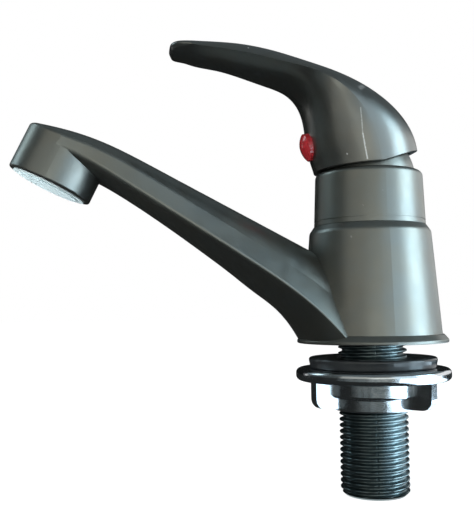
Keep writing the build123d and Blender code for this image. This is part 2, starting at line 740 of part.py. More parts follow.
def past_tip():
    """Everything past the lever's tip, which is round in plan and leans back as it goes down."""
    side = LEVER_HALF_WIDTH - TIP_CORNER
    corner = Pos(side, TIP_CORNER) * Circle(TIP_CORNER)
    corners = corner.edges() + mirror(corner, Plane.YZ).edges()
    root = Pos(0, TIP_CUT_REACH + LEVER_HALF_WIDTH) * Circle(LEVER_HALF_WIDTH + TIP_CORNER)
    plan = make_hull(corners + root.edges())
    slab = Rectangle(TIP_CUT_REACH + LEVER_REACH, TIP_CUT_REACH + TIP_CUT_REACH) - plan
    tip = Pos(0, -LEVER_REACH, TIP_TOP) * Rot(TIP_LEAN, 0, 0)
    return tip * extrude(slab, TIP_CUT_REACH, both=True)


def skirt_cut():
    """Space below the skirt's lip, which rises to the rear so that the lever can tilt."""
    far = 3 * SKIRT_RADIUS
    outline = [
        (-far, 0),
        (far, 0),
        (far, SKIRT_LIP + SKIRT_REAR_RISE * far),
        (0, SKIRT_LIP),
        (-far, SKIRT_LIP - SKIRT_FRONT_FALL * far),
    ]
    wire = FilletPolyline(*outline, radius=[0, 0, 0, SKIRT_BEND, 0], close=True)
    return extrude(make_face(Plane.YZ * wire), far, both=True)


def horn():
    """Solid shape of the handle above its skirt's lip, with a rounded tip."""
    solid = handle_blank() - past_tip()
    tip = solid.edges().filter_by(lambda edge: (edge @ 0.5).Y < TIP_CORNER - LEVER_REACH)
    rims = tip.filter_by(GeomType.LINE, reverse=True)
    return fillet(rims, TIP_ROUND) - skirt_cut()


def handle():
    """Hollow handle with the boss that grips the lever stem."""
    solid = horn()
    ceiling = PIVOT_HEIGHT + CAVITY_RADIUS + CUT_SPARE
    cavity = Pos(0, 0, PIVOT_HEIGHT) * Sphere(CAVITY_RADIUS)
    solid -= cavity - rod(BOSS_RADIUS, BOSS_BASE, ceiling)
    square = STEM_SQUARE + SOCKET_SPARE
    solid -= block(square, square, BOSS_BASE - CUT_SPARE, STEM_TOP + SOCKET_SPARE)
    channel_floor = SCREW_LENGTH + STEM_SQUARE / 2 + SCREW_HEADROOM - BUTTON_FORWARD
    seat = rod(BUTTON_RADIUS + SLIDE_FIT, -BUTTON_SEAT_DEPTH, SKIRT_RADIUS)
    channel = rod(CHANNEL_RADIUS, channel_floor, 0)
    screw_hole = rod(SCREW_RADIUS + SLIDE_FIT, -BUTTON_FORWARD, 0)
    for hole in (seat, channel, screw_hole):
        solid -= BUTTON_FRAME.location * hole
    return solid


def index_button():
    """Domed plug that hides the grub screw."""
    ball_radius = (BUTTON_RADIUS**2 + BUTTON_BULGE**2) / (2 * BUTTON_BULGE)
    plug_end = -BUTTON_SEAT_DEPTH - BUTTON_PLUG_LENGTH
    cap = Pos(0, 0, BUTTON_BULGE - ball_radius) * Sphere(ball_radius)
    cap &= rod(BUTTON_RADIUS, 0, BUTTON_BULGE + CUT_SPARE)
    solid = cap + rod(BUTTON_RADIUS, FACE_GAP - BUTTON_SEAT_DEPTH, 0)
    solid += rod(CHANNEL_RADIUS - LOOSE_FIT, plug_end, -BUTTON_SEAT_DEPTH / 2)
    return BUTTON_FRAME.location * solid


def grub_screw():
    """Socket screw that locks the handle on the stem."""
    lean = math.radians(BUTTON_TILT)
    tip = -(BUTTON_FORWARD - STEM_SQUARE / 2) / math.cos(lean) + SCREW_RADIUS * math.tan(lean)
    tip += FACE_GAP
    key = extrude(
        RegularPolygon(SCREW_KEY_WIDTH / 2, 6, major_radius=False), SCREW_KEY_DEPTH + CUT_SPARE
    )
    body = rod(SCREW_RADIUS, tip, tip + SCREW_LENGTH)
    body = chamfer(body.edges().sort_by(Axis.Z)[:1], SCREW_CHAMFER)
    body -= Pos(0, 0, tip + SCREW_LENGTH - SCREW_KEY_DEPTH) * key
    return BUTTON_FRAME.location * body


def aerator_housing():
    """Screwed ring that holds the grille in the mouth of the spout."""
    lip_radius = AERATOR_BORE_RADIUS - AERATOR_LIP
    lip_top = AERATOR_BASE + AERATOR_LIP_THICKNESS
    outline = [
        (lip_radius, AERATOR_BASE),
        (AERATOR_RADIUS, AERATOR_BASE),
        (AERATOR_RADIUS, AERATOR_TOP),
        (AERATOR_BORE_RADIUS, AERATOR_TOP),
        (AERATOR_BORE_RADIUS, lip_top),
        (lip_radius, lip_top),
    ]
    return HEAD_FRAME.location * turned(outline)


def grille_places():
    """Centres of the grille's holes: rings of six, twelve, eighteen round one."""
    places = [(0.0, 0.0)]
    for ring in range(1, GRILLE_RINGS + 1):
        for number in range(6 * ring):
            side, step = divmod(number, ring)
            first = math.radians(60 * side)
            turn = math.radians(60 * side + 120)
            x = ring * math.cos(first) + step * math.cos(turn)
            y = ring * math.sin(first) + step * math.sin(turn)
            places.append((GRILLE_PITCH * x, GRILLE_PITCH * y))
    return places


def aerator_grille():
    """Moulded grille with a honeycomb of holes, flush with the ring that holds it."""
    face_radius = AERATOR_BORE_RADIUS - AERATOR_LIP - SLIDE_FIT
    lip_top = AERATOR_BASE + AERATOR_LIP_THICKNESS + FACE_GAP
    top = lip_top + GRILLE_THICKNESS
    hole = RegularPolygon((GRILLE_PITCH - GRILLE_BAR) / 2, 6, major_radius=False)
    holes = Sketch() + [Pos(x, y) * hole for x, y in grille_places()]
    plate = rod(face_radius, AERATOR_BASE, top) + rod(AERATOR_BORE_RADIUS - SLIDE_FIT, lip_top, top)
    plate -= Pos(0, 0, AERATOR_BASE) * extrude(holes, top - AERATOR_BASE)
    return HEAD_FRAME.location * plate


def aerator_washer():
    """Flat washer between the aerator and the bottom of its bore."""
    outer = HEAD_BORE_RADIUS - LOOSE_FIT
    top = AERATOR_TOP + AERATOR_WASHER_THICKNESS
    ring = tube(outer, outer - AERATOR_WASHER_WIDTH, AERATOR_TOP, top)
    return HEAD_FRAME.location * ring


PIECES = [
    tap_body,
    threaded_shank,
    shank_seal,
    rubber_washer,
    wing_nut,
    collar,
    dome_ring,
    cartridge_retaining_nut,
    cartridge_housing,
    cartridge_base,
    inlet_seal,
    base_seal,
    fixed_disc,
    moving_disc,
    disc_carrier,
    rotor,
    rotor_seal,
    pivot_pin,
    stem_lever,
    handle,
    index_button,
    grub_screw,
    aerator_housing,
    aerator_grille,
    aerator_washer,
]


def main():
    """Build every piece and write it under its own name."""
    os.makedirs("parts", exist_ok=True)
    for piece in PIECES:
        export_step(piece(), f"parts/{piece.__name__}.step")


if __name__ == "__main__":
    main()
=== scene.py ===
"""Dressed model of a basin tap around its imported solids.

The solids give every shape but the threads and the aerator's gauze. This script makes those in
mesh code, gives each piece its finish, and sets the studio and the camera. Lengths are metres,
+Z is up, and the spout and the lever point to -Y.
"""

import logging
import math
from dataclasses import dataclass, field
from enum import Enum

import bmesh
import bpy
from mathutils import Matrix, Vector


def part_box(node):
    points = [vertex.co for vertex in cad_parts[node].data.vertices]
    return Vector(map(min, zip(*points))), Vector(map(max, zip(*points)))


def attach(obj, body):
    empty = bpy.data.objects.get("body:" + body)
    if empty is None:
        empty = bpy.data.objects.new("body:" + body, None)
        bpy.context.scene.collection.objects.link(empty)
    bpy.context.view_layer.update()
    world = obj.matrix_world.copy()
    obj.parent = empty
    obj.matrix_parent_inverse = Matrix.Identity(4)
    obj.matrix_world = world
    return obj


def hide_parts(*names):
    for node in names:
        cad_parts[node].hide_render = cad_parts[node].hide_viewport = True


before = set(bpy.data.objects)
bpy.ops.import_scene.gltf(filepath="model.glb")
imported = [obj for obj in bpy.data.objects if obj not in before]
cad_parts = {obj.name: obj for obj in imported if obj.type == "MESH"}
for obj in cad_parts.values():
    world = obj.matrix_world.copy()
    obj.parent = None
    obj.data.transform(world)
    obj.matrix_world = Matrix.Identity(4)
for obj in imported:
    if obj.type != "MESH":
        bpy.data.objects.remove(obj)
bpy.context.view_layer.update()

log = logging.getLogger("tap")

Colour = tuple[float, float, float]
Point = tuple[float, float, float]
Ring = list[Vector]

MM = 0.001
FLOOR_HEIGHT = -45.3 * MM
TAP_CENTRE = Vector((0.0, -0.035, 0.025))

# Thread that the shank and the wing nut share
THREAD_PITCH = 1.814 * MM
THREAD_CREST = 10.3 * MM
THREAD_ROOT = 9.15 * MM

# Mouth of the spout's head
MOUTH_FORWARD = 96.05 * MM
MOUTH_HEIGHT = 46.9 * MM
MOUTH_LEAN = math.radians(25.7)

# Fine detail that every finish shares
BLOTCH_SIZE = 9 * MM
SMEAR_SIZE = 3.5 * MM
SOFT_SPAN = (0.35, 0.65)
SPECK_SIZE = 0.45 * MM
SPECK_SPAN = (0.77, 0.83)
COAT_ROUGHNESS = 0.08

# Coarser layer of a grain, in grain sizes, and the strength of lathe rings and of lapping
CAST_SWELL = 6
PEEL_SWELL = 2.6
RING_SHARE = 0.4
LAPPED_SHARE = 0.5

# Gaps that break up a worn line, and the share of its width that is fully worn
BREAK_SIZE = 0.6 * MM
BREAK_SPAN = (0.30, 0.46)
MARK_CORE = 0.35

# Distance between the wave texture's grooves at a scale of one
WAVE_STEP = 0.314
WAVE_DISTORTION = 0.6

# Angle from which an edge of a mesh is drawn sharp
SHARP_ANGLE = math.radians(50)


class Grain(Enum):
    """Kinds of fine relief that a finish can have."""

    ORANGE_PEEL = "orange peel of sprayed paint"
    CAST = "skin of a die casting under its plating"
    TURNED = "rings left by a lathe"
    MOULDED = "skin of a moulding"
    LAPPED = "ground and lapped face"


class NodeGraph:
    """Adds and links the nodes of one tree."""

    def __init__(self, tree: bpy.types.NodeTree) -> None:
        """Start on a tree.

        Args:
            tree: Node tree of a material or of the world.
        """
        self.tree = tree

    def add(self, kind: str, **settings: object) -> bpy.types.Node:
        """Add a node.

        Args:
            kind: Blender's name of the node's type.
            **settings: Attributes to set on the node.

        Returns:
            The new node.
        """
        node = self.tree.nodes.new(kind)
        for name, value in settings.items():
            setattr(node, name, value)
        return node

    def feed(self, socket: bpy.types.NodeSocket, source: object) -> None:
        """Link a socket to another one, or set its value.

        Args:
            socket: Input that is fed.
            source: Output socket, number, colour or vector.
        """
        if isinstance(source, bpy.types.NodeSocket):
            self.tree.links.new(source, socket)
        elif isinstance(source, tuple) and len(socket.default_value) == 4:
            socket.default_value = (*source, 1.0)
        else:
            socket.default_value = source

    def maths(self, operation: str, first: object, second: object = 0.0) -> bpy.types.NodeSocket:
        """One sum on numbers.

        Args:
            operation: Blender's name of the sum.
            first: Number or socket.
            second: Number or socket.

        Returns:
            The result's socket.
        """
        node = self.add("ShaderNodeMath", operation=operation)
        self.feed(node.inputs[0], first)
        self.feed(node.inputs[1], second)
        return node.outputs[0]

    def seen_directly(self) -> bpy.types.NodeSocket:
        """Tell what is seen from what only gives light.

        Returns:
            One for what the camera, a reflection or a clear piece sees, and nought for the rest.
        """
        path = self.add("ShaderNodeLightPath")
        direct = self.maths("MAXIMUM", path.outputs["Is Camera Ray"], path.outputs["Is Glossy Ray"])
        return self.maths("MAXIMUM", direct, path.outputs["Is Transmission Ray"])


class ShaderGraph(NodeGraph):
    """Adds and links the nodes of one new material."""

    def __init__(self, name: str) -> None:
        """Start a material.

        Args:
            name: Name of the new material.
        """
        self.material = bpy.data.materials.new(name)
        self.material.use_nodes = True
        super().__init__(self.material.node_tree)
        self.shader = self.tree.nodes["Principled BSDF"]
        self.place = self.add("ShaderNodeTexCoord").outputs["Object"]

    def noise(self, size: float, detail: float = 3.0, place: object = None) -> bpy.types.NodeSocket:
        """Cloudy pattern.

        Args:
            size: Length of one blotch.
            detail: Number of finer layers.
            place: Coordinates, or the object's own if left out.

        Returns:
            A value round one half.
        """
        node = self.add("ShaderNodeTexNoise")
        self.feed(node.inputs["Vector"], place or self.place)
        node.inputs["Scale"].default_value = 1 / size
        node.inputs["Detail"].default_value = detail
        return node.outputs[0]

    def wave(self, size: float, direction: str) -> bpy.types.NodeSocket:
        """Fine parallel bands along Z, or rings round it.

        Args:
            size: Distance from one groove to the next.
            direction: BANDS or RINGS.

        Returns:
            A value from nought to one.
        """
        node = self.add("ShaderNodeTexWave", wave_type=direction)
        node.bands_direction = "Z"
        node.rings_direction = "Z"
        self.feed(node.inputs["Vector"], self.place)
        node.inputs["Scale"].default_value = WAVE_STEP / size
        node.inputs["Distortion"].default_value = WAVE_DISTORTION
        return node.outputs["Fac"]

    def vector(self, operation: str, first: object, second: object = None) -> bpy.types.Node:
        """One sum on vectors.

        Args:
            operation: Blender's name of the sum.
            first: Vector or socket.
            second: Vector or socket, where the sum takes two.

        Returns:
            The node, whose outputs are a vector and a value.
        """
        node = self.add("ShaderNodeVectorMath", operation=operation)
        self.feed(node.inputs[0], first)
        if second is not None:
            self.feed(node.inputs[1], second)
        return node

    def span(
        self, value: object, start: float, end: float, low: float = 0.0, high: float = 1.0
    ) -> bpy.types.NodeSocket:
        """Carry a value from one span to another, held at both ends.

        Args:
            value: Number that is carried over.
            start: Value that becomes low.
            end: Value that becomes high.
            low: Result at the start.
            high: Result at the end.

        Returns:
            The result's socket.
        """
        node = self.add("ShaderNodeMapRange")
        for name, number in (
            ("Value", value),
            ("From Min", start),
            ("From Max", end),
            ("To Min", low),
            ("To Max", high),
        ):
            self.feed(node.inputs[name], number)
        return node.outputs["Result"]

    def blend(self, share: object, first: object, second: object) -> bpy.types.NodeSocket:
        """Mix two colours.

        Args:
            share: How much of the second colour shows.
            first: Colour or socket.
            second: Colour or socket.

        Returns:
            The mixed colour's socket.
        """
        node = self.add("ShaderNodeMixRGB")
        self.feed(node.inputs["Fac"], share)
        self.feed(node.inputs["Color1"], first)
        self.feed(node.inputs["Color2"], second)
        return node.outputs["Color"]

    def bump(self, height: object, depth: float) -> None:
        """Give the surface its relief.

        Args:
            height: Relief from nought to one.
            depth: Length that one stands for.
        """
        node = self.add("ShaderNodeBump")
        node.inputs["Distance"].default_value = depth
        self.feed(node.inputs["Height"], height)
        self.feed(self.shader.inputs["Normal"], node.outputs["Normal"])


@dataclass(frozen=True)
class Mark:
    """Thin worn line or scuff on the side of a piece that faces +X.

    Args:
        start: One end, as (forward, height).
        end: Other end, as (forward, height).
        width: Half width of the mark.
        strength: How pale it is, from nought to one.
    """

    start: tuple[float, float]
    end: tuple[float, float]
    width: float
    strength: float

    def share(self, graph: ShaderGraph) -> bpy.types.NodeSocket:
        """Build the mark's mask.

        Args:
            graph: Graph of the material that wears the mark.

        Returns:
            A value that is highest on the mark.
        """
        near = (0.0, -self.start[0], self.start[1])
        way = (0.0, self.start[0] - self.end[0], self.end[1] - self.start[1])
        length = math.hypot(way[1], way[2])
        flat = graph.vector("MULTIPLY", graph.place, (0.0, 1.0, 1.0)).outputs[0]
        offset = graph.vector("SUBTRACT", flat, near).outputs[0]
        along = graph.maths("DIVIDE", graph.vector("DOT_PRODUCT", offset, way).outputs[1], length**2)
        held = graph.span(along, 0.0, 1.0)
        scaled = graph.add("ShaderNodeVectorMath", operation="SCALE")
        graph.feed(scaled.inputs[0], way)
        graph.feed(scaled.inputs["Scale"], held)
        away = graph.vector("DISTANCE", offset, scaled.outputs[0]).outputs[1]
        mask = graph.span(away, MARK_CORE * self.width, self.width, self.strength, 0.0)
        broken = graph.span(graph.noise(BREAK_SIZE), *BREAK_SPAN)
        facing = graph.add("ShaderNodeSeparateXYZ")
        graph.feed(facing.inputs[0], graph.place)
        right = graph.maths("GREATER_THAN", facing.outputs["X"], 0.0)
        return graph.maths("MULTIPLY", graph.maths("MULTIPLY", mask, broken), right)


@dataclass(frozen=True)
class Finish:
    """One surface finish of the tap.

    Args:
        name: Name of the material.
        slot: Material slot of the record; not used.
        tone: Main colour.
        drift: Second colour, which comes and goes in soft blotches.
        roughness: Lowest and highest roughness.
        grain: Kind of relief.
        grain_size: Length of one grain.
        grain_depth: Height of the relief.
        metallic: One for bare metal and plating.
        coat: Strength of a clear glossy layer.
        speck: Colour of dust and worn points.
        speck_share: How strongly the specks show.
        marks: Worn lines and scuffs.
    """

    name: str
    slot: str
    tone: Colour
    drift: Colour
    roughness: tuple[float, float]
    grain: Grain
    grain_size: float
    grain_depth: float
    metallic: float = 0.0
    coat: float = 0.0
    speck: Colour = (0.5, 0.5, 0.5)
    speck_share: float = 0.25
    marks: tuple[Mark, ...] = ()

    def relief(self, graph: ShaderGraph) -> bpy.types.NodeSocket:
        """Build the grain's pattern.

        Args:
            graph: Graph of the material.

        Returns:
            The relief from nought to one.
        """
        fine = graph.noise(self.grain_size, 2.0)
        if self.grain is Grain.TURNED:
            rings = graph.maths(
                "ADD",
                graph.wave(self.grain_size, "BANDS"),
                graph.wave(self.grain_size, "RINGS"),
            )
            return graph.maths("ADD", graph.maths("MULTIPLY", rings, RING_SHARE), fine)
        if self.grain is Grain.CAST:
            return graph.maths("ADD", fine, graph.noise(CAST_SWELL * self.grain_size, 1.0))
        if self.grain is Grain.ORANGE_PEEL:
            return graph.maths("ADD", fine, graph.noise(PEEL_SWELL * self.grain_size, 0.0))
        if self.grain is Grain.LAPPED:
            return graph.maths("MULTIPLY", fine, LAPPED_SHARE)
        return fine

    def material(self) -> bpy.types.Material:
        """Build the material.

        Returns:
            A procedural material with drift, specks, relief and any marks.
        """
        graph = ShaderGraph(self.name)
        blotch = graph.span(graph.noise(BLOTCH_SIZE, 3.0), *SOFT_SPAN)
        colour = graph.blend(blotch, self.tone, self.drift)
        specks = graph.span(graph.noise(SPECK_SIZE, 1.0), *SPECK_SPAN, 0.0, self.speck_share)
        worn = specks
        for mark in self.marks:
            worn = graph.maths("MAXIMUM", worn, mark.share(graph))
        colour = graph.blend(worn, colour, self.speck)
        bare = graph.maths("MULTIPLY", graph.maths("SUBTRACT", 1.0, worn), self.metallic)
        low, high = self.roughness
        rough = graph.span(graph.noise(SMEAR_SIZE, 4.0), *SOFT_SPAN, low, high)
        graph.feed(graph.shader.inputs["Base Color"], colour)
        graph.feed(graph.shader.inputs["Roughness"], rough)
        graph.feed(graph.shader.inputs["Metallic"], bare)
        graph.shader.inputs["Coat Weight"].default_value = self.coat
        graph.shader.inputs["Coat Roughness"].default_value = COAT_ROUGHNESS
        graph.bump(self.relief(graph), self.grain_depth)
        return graph.material


GREY_PAINT = Finish(
    name="satin_gunmetal_paint",
    slot="grey_paint",
    tone=(0.262, 0.270, 0.256),
    drift=(0.270, 0.266, 0.240),
    roughness=(0.34, 0.40),
    grain=Grain.ORANGE_PEEL,
    grain_size=0.55 * MM,
    grain_depth=0.004 * MM,
    metallic=0.97,
    speck_share=0.12,
    marks=(
        Mark((10.46 * MM, 30.83 * MM), (10.40 * MM, 30.60 * MM), 0.22 * MM, 0.5),
        Mark((6.8 * MM, 39.9 * MM), (6.6 * MM, 39.7 * MM), 0.16 * MM, 0.35),
        Mark((1.2 * MM, 44.1 * MM), (1.1 * MM, 43.9 * MM), 0.16 * MM, 0.35),
    ),
)
HANDLE_PAINT = Finish(
    name="satin_gunmetal_paint_handled",
    slot="grey_paint",
    tone=(0.262, 0.266, 0.256),
    drift=(0.268, 0.260, 0.240),
    roughness=(0.29, 0.36),
    grain=Grain.ORANGE_PEEL,
    grain_size=0.55 * MM,
    grain_depth=0.004 * MM,
    metallic=0.97,
    speck=(0.72, 0.74, 0.74),
    speck_share=0.14,
    marks=(
        Mark((6.95 * MM, 68.0 * MM), (6.37 * MM, 60.6 * MM), 0.20 * MM, 0.55),
        Mark((6.37 * MM, 60.6 * MM), (5.1 * MM, 53.3 * MM), 0.26 * MM, 0.90),
        Mark((6.3 * MM, 74.3 * MM), (5.3 * MM, 75.0 * MM), 1.0 * MM, 0.30),
        Mark((10.5 * MM, 55.06 * MM), (10.4 * MM, 54.9 * MM), 0.22 * MM, 0.7),
        Mark((38.3 * MM, 87.0 * MM), (38.2 * MM, 86.8 * MM), 0.20 * MM, 0.5),
    ),
)
SHANK_METAL = Finish(
    name="dark_plated_thread",
    slot="shank_metal",
    tone=(0.215, 0.275, 0.290),
    drift=(0.240, 0.290, 0.300),
    roughness=(0.28, 0.34),
    grain=Grain.CAST,
    grain_size=0.30 * MM,
    grain_depth=0.002 * MM,
    metallic=1.0,
    speck=(0.62, 0.66, 0.68),
    speck_share=0.12,
)
CHROME = Finish(
    name="bright_chrome",
    slot="chrome",
    tone=(0.70, 0.72, 0.74),
    drift=(0.62, 0.65, 0.68),
    roughness=(0.13, 0.20),
    grain=Grain.CAST,
    grain_size=0.9 * MM,
    grain_depth=0.006 * MM,
    metallic=1.0,
    speck=(0.25, 0.26, 0.27),
)
BRASS = Finish(
    name="turned_brass",
    slot="brass",
    tone=(0.66, 0.50, 0.24),
    drift=(0.58, 0.42, 0.20),
    roughness=(0.22, 0.36),
    grain=Grain.TURNED,
    grain_size=0.35 * MM,
    grain_depth=0.01 * MM,
    metallic=1.0,
    speck=(0.35, 0.24, 0.12),
)
STEEL = Finish(
    name="machined_steel",
    slot="steel",
    tone=(0.55, 0.56, 0.57),
    drift=(0.46, 0.47, 0.48),
    roughness=(0.20, 0.34),
    grain=Grain.TURNED,
    grain_size=0.3 * MM,
    grain_depth=0.01 * MM,
    metallic=1.0,
    speck=(0.2, 0.2, 0.2),
)
BLACK_RUBBER = Finish(
    name="matt_black_rubber",
    slot="black_rubber",
    tone=(0.016, 0.018, 0.020),
    drift=(0.026, 0.029, 0.031),
    roughness=(0.30, 0.42),
    grain=Grain.MOULDED,
    grain_size=0.45 * MM,
    grain_depth=0.008 * MM,
    coat=0.5,
    speck=(0.30, 0.31, 0.31),
    speck_share=0.3,
)
CARTRIDGE_PLASTIC = Finish(
    name="moulded_cartridge_plastic",
    slot="cartridge_plastic",
    tone=(0.78, 0.78, 0.75),
    drift=(0.70, 0.70, 0.68),
    roughness=(0.38, 0.52),
    grain=Grain.MOULDED,
    grain_size=0.3 * MM,
    grain_depth=0.01 * MM,
)
CERAMIC = Finish(
    name="lapped_ceramic",
    slot="ceramic",
    tone=(0.86, 0.84, 0.80),
    drift=(0.80, 0.77, 0.72),
    roughness=(0.12, 0.22),
    grain=Grain.LAPPED,
    grain_size=0.2 * MM,
    grain_depth=0.003 * MM,
    speck=(0.45, 0.43, 0.40),
)
RED_PLASTIC = Finish(
    name="glossy_red_plastic",
    slot="red_plastic",
    tone=(0.62, 0.035, 0.045),
    drift=(0.52, 0.025, 0.035),
    roughness=(0.18, 0.28),
    grain=Grain.MOULDED,
    grain_size=0.5 * MM,
    grain_depth=0.006 * MM,
    coat=0.6,
    speck=(0.8, 0.4, 0.4),
)
PALE_PLASTIC = Finish(
    name="pale_aerator_plastic",
    slot="pale_plastic",
    tone=(0.72, 0.82, 0.85),
    drift=(0.66, 0.77, 0.81),
    roughness=(0.30, 0.42),
    grain=Grain.MOULDED,
    grain_size=0.3 * MM,
    grain_depth=0.01 * MM,
    speck=(0.35, 0.40, 0.42),
)


class FinishShelf:
    """Keeps one material for each finish."""

    def __init__(self) -> None:
        """Start with no material made."""
        self.made: dict[str, bpy.types.Material] = {}

    def material(self, finish: Finish) -> bpy.types.Material:
        """Fetch a finish's material, and make it the first time.

        Args:
            finish: Finish that is wanted.

        Returns:
            Its material.
        """
        if finish.name not in self.made:
            self.made[finish.name] = finish.material()
        return self.made[finish.name]

    def paint_node(self, node: str, finish: Finish) -> None:
        """Give a solid of the frame its finish.

        Args:
            node: Name of the solid.
            finish: Finish for its whole surface.
        """
        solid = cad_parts[node]
        solid.data.materials.clear()
        solid.data.materials.append(self.material(finish))

    def paint_piece(self, piece: bpy.types.Object, finish: Finish) -> None:
        """Give a new piece its finish.

        Args:
            piece: Piece made by this script.
            finish: Finish for its whole surface.
        """
        piece.data.materials.append(self.material(finish))


SHELF = FinishShelf()


class RingSkin:
    """Mesh made of skins over rows of rings with equal numbers of points."""

    def __init__(self) -> None:
        """Start an empty mesh."""
        self.mesh = bmesh.new()

    def cover(self, rings: list[Ring], joined: bool) -> None:
        """Add a skin over a row of rings.

        Args:
            rings: Rings in order, each with its points in order.
            joined: True if the last ring joins the first, False for flat caps at both ends.
        """
        rows = [[self.mesh.verts.new(point) for point in ring] for ring in rings]
        pairs = list(zip(rows, rows[1:]))
        if joined:
            pairs.append((rows[-1], rows[0]))
        else:
            self.mesh.faces.new(rows[0])
            self.mesh.faces.new(rows[-1][::-1])
        for near, far in pairs:
            for step in range(len(near)):
                after = (step + 1) % len(near)
                self.mesh.faces.new((near[step], far[step], far[after], near[after]))

    def finish(self, name: str, body: str) -> bpy.types.Object:
        """Turn the skins into a piece that rides on a body.

        Args:
            name: Name of the piece.
            body: Body of the frame that carries it.

        Returns:
            The new piece.
        """
        bmesh.ops.recalc_face_normals(self.mesh, faces=self.mesh.faces)
        data = bpy.data.meshes.new(name)
        self.mesh.to_mesh(data)
        self.mesh.free()
        data.polygons.foreach_set("use_smooth", [True] * len(data.polygons))
        data.set_sharp_from_angle(angle=SHARP_ANGLE)
        piece = bpy.data.objects.new(name, data)
        bpy.context.scene.collection.objects.link(piece)
        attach(piece, body)
        return piece


def ring_of(points: list[tuple[float, float, float]]) -> Ring:
    """Place a ring's points round the Z axis.

    Args:
        points: Radius, angle and height of each point.

    Returns:
        The ring.
    """
    return [
        Vector((radius * math.cos(angle), radius * math.sin(angle), height))
        for radius, angle, height in points
    ]


def flat_grid(name: str, squares: int, half_side: float) -> bpy.types.Object:
    """Lay a square grid of faces on the origin.

    Args:
        name: Name of the grid and of its mesh.
        squares: Number of faces along a side.
        half_side: Half the length of a side.

    Returns:
        The grid, which has no material yet.
    """
    skin = bmesh.new()
    bmesh.ops.create_grid(skin, x_segments=squares, y_segments=squares, size=half_side)
    data = bpy.data.meshes.new(name)
    skin.to_mesh(data)
    skin.free()
    grid = bpy.data.objects.new(name, data)
    bpy.context.scene.collection.objects.link(grid)
    return grid


@dataclass
class SubAssembly:
    """Group of pieces that are dressed together.

    Args:
        title: Plain name for the log.
        finishes: Finish of each solid that stays in view.
    """

    title: str
    finishes: dict[str, Finish] = field(default_factory=dict)

    def build(self) -> list[bpy.types.Object]:
        """Make the pieces that the solids don't have, none unless a group adds some."""
        return []

    def dress(self) -> list[str]:
        """Give each of the group's solids its finish.

        Returns:
            The names of the solids.
        """
        for node, finish in self.finishes.items():
            SHELF.paint_node(node, finish)
        return list(self.finishes)


@dataclass
class BodyCasting(SubAssembly):
    """Casting with the spout, and the collar and dome ring above it."""

    title: str = "body, collar and dome"
    finishes: dict[str, Finish] = field(
        default_factory=lambda: {
            "tap_body": GREY_PAINT,
            "collar": GREY_PAINT,
            "dome_ring": GREY_PAINT,
        }
    )


@dataclass
class LeverHandle(SubAssembly):
    """Handle with its index button and grub screw, on the lever stem."""

    title: str = "handle"
    finishes: dict[str, Finish] = field(
        default_factory=lambda: {
            "handle": HANDLE_PAINT,
            "index_button": RED_PLASTIC,
            "grub_screw": STEEL,
            "stem_lever": BRASS,
        }
    )


@dataclass
class Cartridge(SubAssembly):
    """Ceramic cartridge and the ring nut that holds it."""

    title: str = "cartridge"
    finishes: dict[str, Finish] = field(
        default_factory=lambda: {
            "cartridge_retaining_nut": BRASS,
            "cartridge_housing": CARTRIDGE_PLASTIC,
            "cartridge_base": CARTRIDGE_PLASTIC,
            "inlet_seal": BLACK_RUBBER,
            "base_seal": BLACK_RUBBER,
            "fixed_disc": CERAMIC,
            "moving_disc": CERAMIC,
            "disc_carrier": CARTRIDGE_PLASTIC,
            "rotor": CARTRIDGE_PLASTIC,
            "rotor_seal": BLACK_RUBBER,
            "pivot_pin": STEEL,
        }
    )


